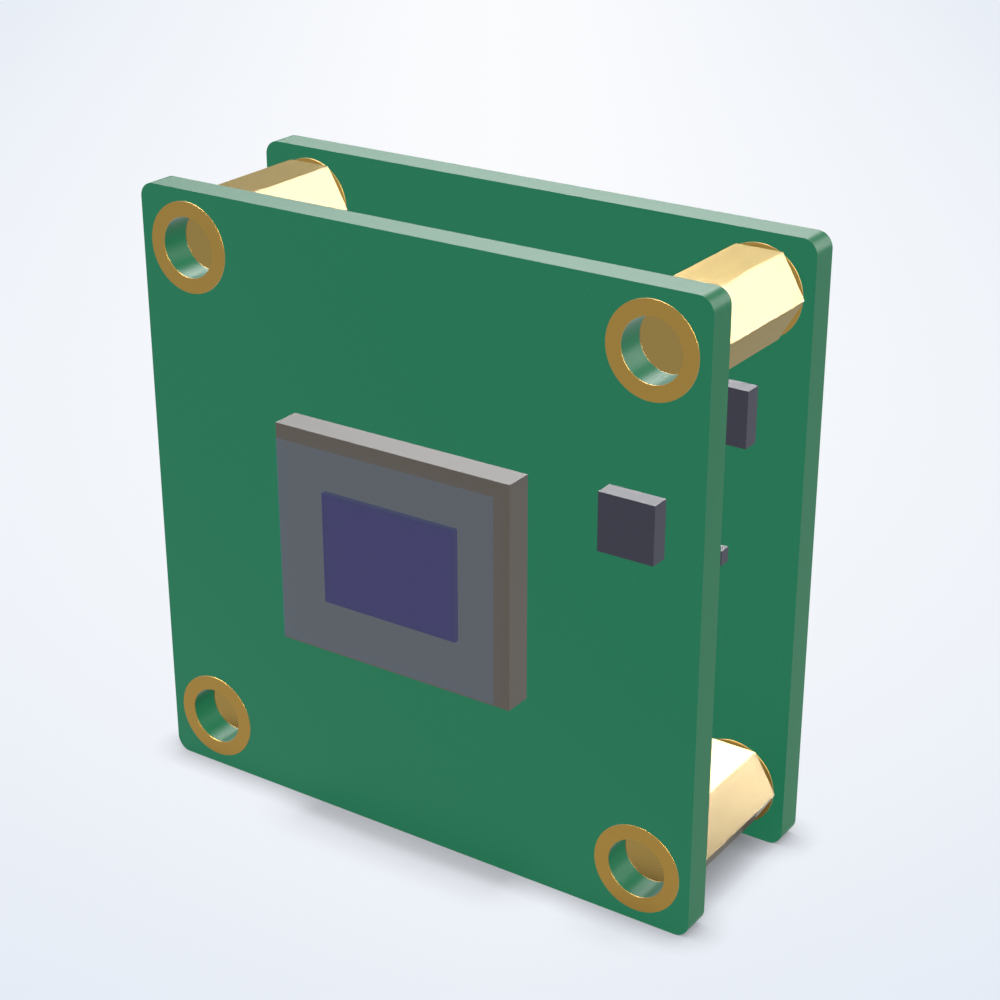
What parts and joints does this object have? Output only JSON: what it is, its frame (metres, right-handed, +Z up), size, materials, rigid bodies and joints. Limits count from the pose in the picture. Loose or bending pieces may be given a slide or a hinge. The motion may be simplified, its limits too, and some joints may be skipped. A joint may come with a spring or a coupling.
{
  "type": "camera module",
  "caption": "Board-level camera module: image sensor under a cover glass on a square circuit board, stacked on a second board with hexagonal brass standoffs.",
  "frame": {"origin": "on the optical axis, at the centre of the front board's front face and of its four-hole pattern", "axes": "+Z up as the module stands, -Y the way the sensor looks, +X to the right as seen from the front"},
  "size_m": [0.033, 0.0179, 0.033],
  "materials": {
    "solder_mask_board": "semi-gloss green solder mask over woven glass-epoxy laminate",
    "gold_plated_pad": "thin gold plating over copper, satin",
    "brass_standoff": "drawn hexagonal brass bar, fine satin",
    "sensor_ceramic": "unglazed warm grey ceramic",
    "sensor_silicon": "polished silicon with a violet colour filter layer",
    "cover_glass": "clear polished glass with a blue-grey coating on its front face",
    "chip_moulding": "fine matt epoxy moulding compound",
    "black_connector_plastic": "glass-filled black plastic, moulded",
    "gold_flashed_contact": "thin gold flash, stamped",
    "pale_connector_nylon": "natural nylon, moulded",
    "tinned_lead": "matt tin plate",
    "clock_ceramic": "dark unglazed ceramic",
    "nickel_lid": "satin nickel-plated lid",
    "inductor_moulding": "grey powder-moulded iron composite",
    "capacitor_ceramic": "fired tan ceramic with tinned ends",
    "resistor_ceramic": "dark glassy coating over white ceramic, tinned ends"
  },
  "bodies": {
    "root": {"front_board": "solder_mask_board", "rear_board": "solder_mask_board", "front_board_front_pad_top_left": "gold_plated_pad", "front_board_front_pad_top_right": "gold_plated_pad", "front_board_front_pad_bottom_left": "gold_plated_pad", "front_board_front_pad_bottom_right": "gold_plated_pad", "front_board_back_pad_top_left": "gold_plated_pad", "front_board_back_pad_top_right": "gold_plated_pad", "front_board_back_pad_bottom_left": "gold_plated_pad", "front_board_back_pad_bottom_right": "gold_plated_pad", "rear_board_front_pad_top_left": "gold_plated_pad", "rear_board_front_pad_top_right": "gold_plated_pad", "rear_board_front_pad_bottom_left": "gold_plated_pad", "rear_board_front_pad_bottom_right": "gold_plated_pad", "rear_board_back_pad_top_left": "gold_plated_pad", "rear_board_back_pad_top_right": "gold_plated_pad", "rear_board_back_pad_bottom_left": "gold_plated_pad", "rear_board_back_pad_bottom_right": "gold_plated_pad", "standoff_top_left": "brass_standoff", "standoff_top_right": "brass_standoff", "standoff_bottom_left": "brass_standoff", "standoff_bottom_right": "brass_standoff", "sensor_package": "sensor_ceramic", "sensor_die": "sensor_silicon", "sensor_cover_glass": "cover_glass", "sensor_regulator": "chip_moulding", "power_controller": "chip_moulding", "protection_diode": "chip_moulding", "link_header_insulator": "black_connector_plastic", "link_socket_housing": "black_connector_plastic", "link_header_pins": "gold_flashed_contact", "link_socket_contacts": "gold_flashed_contact", "cable_header_housing": "pale_connector_nylon", "cable_header_pins": "tinned_lead", "cable_header_tabs": "tinned_lead", "image_processor": "chip_moulding", "image_processor_terminals": "tinned_lead", "program_memory": "chip_moulding", "program_memory_leads": "tinned_lead", "power_inductor_terminals": "tinned_lead", "clock_base": "clock_ceramic", "clock_lid": "nickel_lid", "power_inductor": "inductor_moulding", "sensor_capacitor_1": "capacitor_ceramic", "sensor_capacitor_2": "capacitor_ceramic", "sensor_capacitor_3": "capacitor_ceramic", "processor_capacitor_1": "capacitor_ceramic", "processor_capacitor_2": "capacitor_ceramic", "processor_capacitor_3": "capacitor_ceramic", "controller_capacitor": "capacitor_ceramic", "memory_capacitor": "capacitor_ceramic", "cable_resistor_1": "resistor_ceramic", "cable_resistor_2": "resistor_ceramic"}
  },
  "joints": []
}
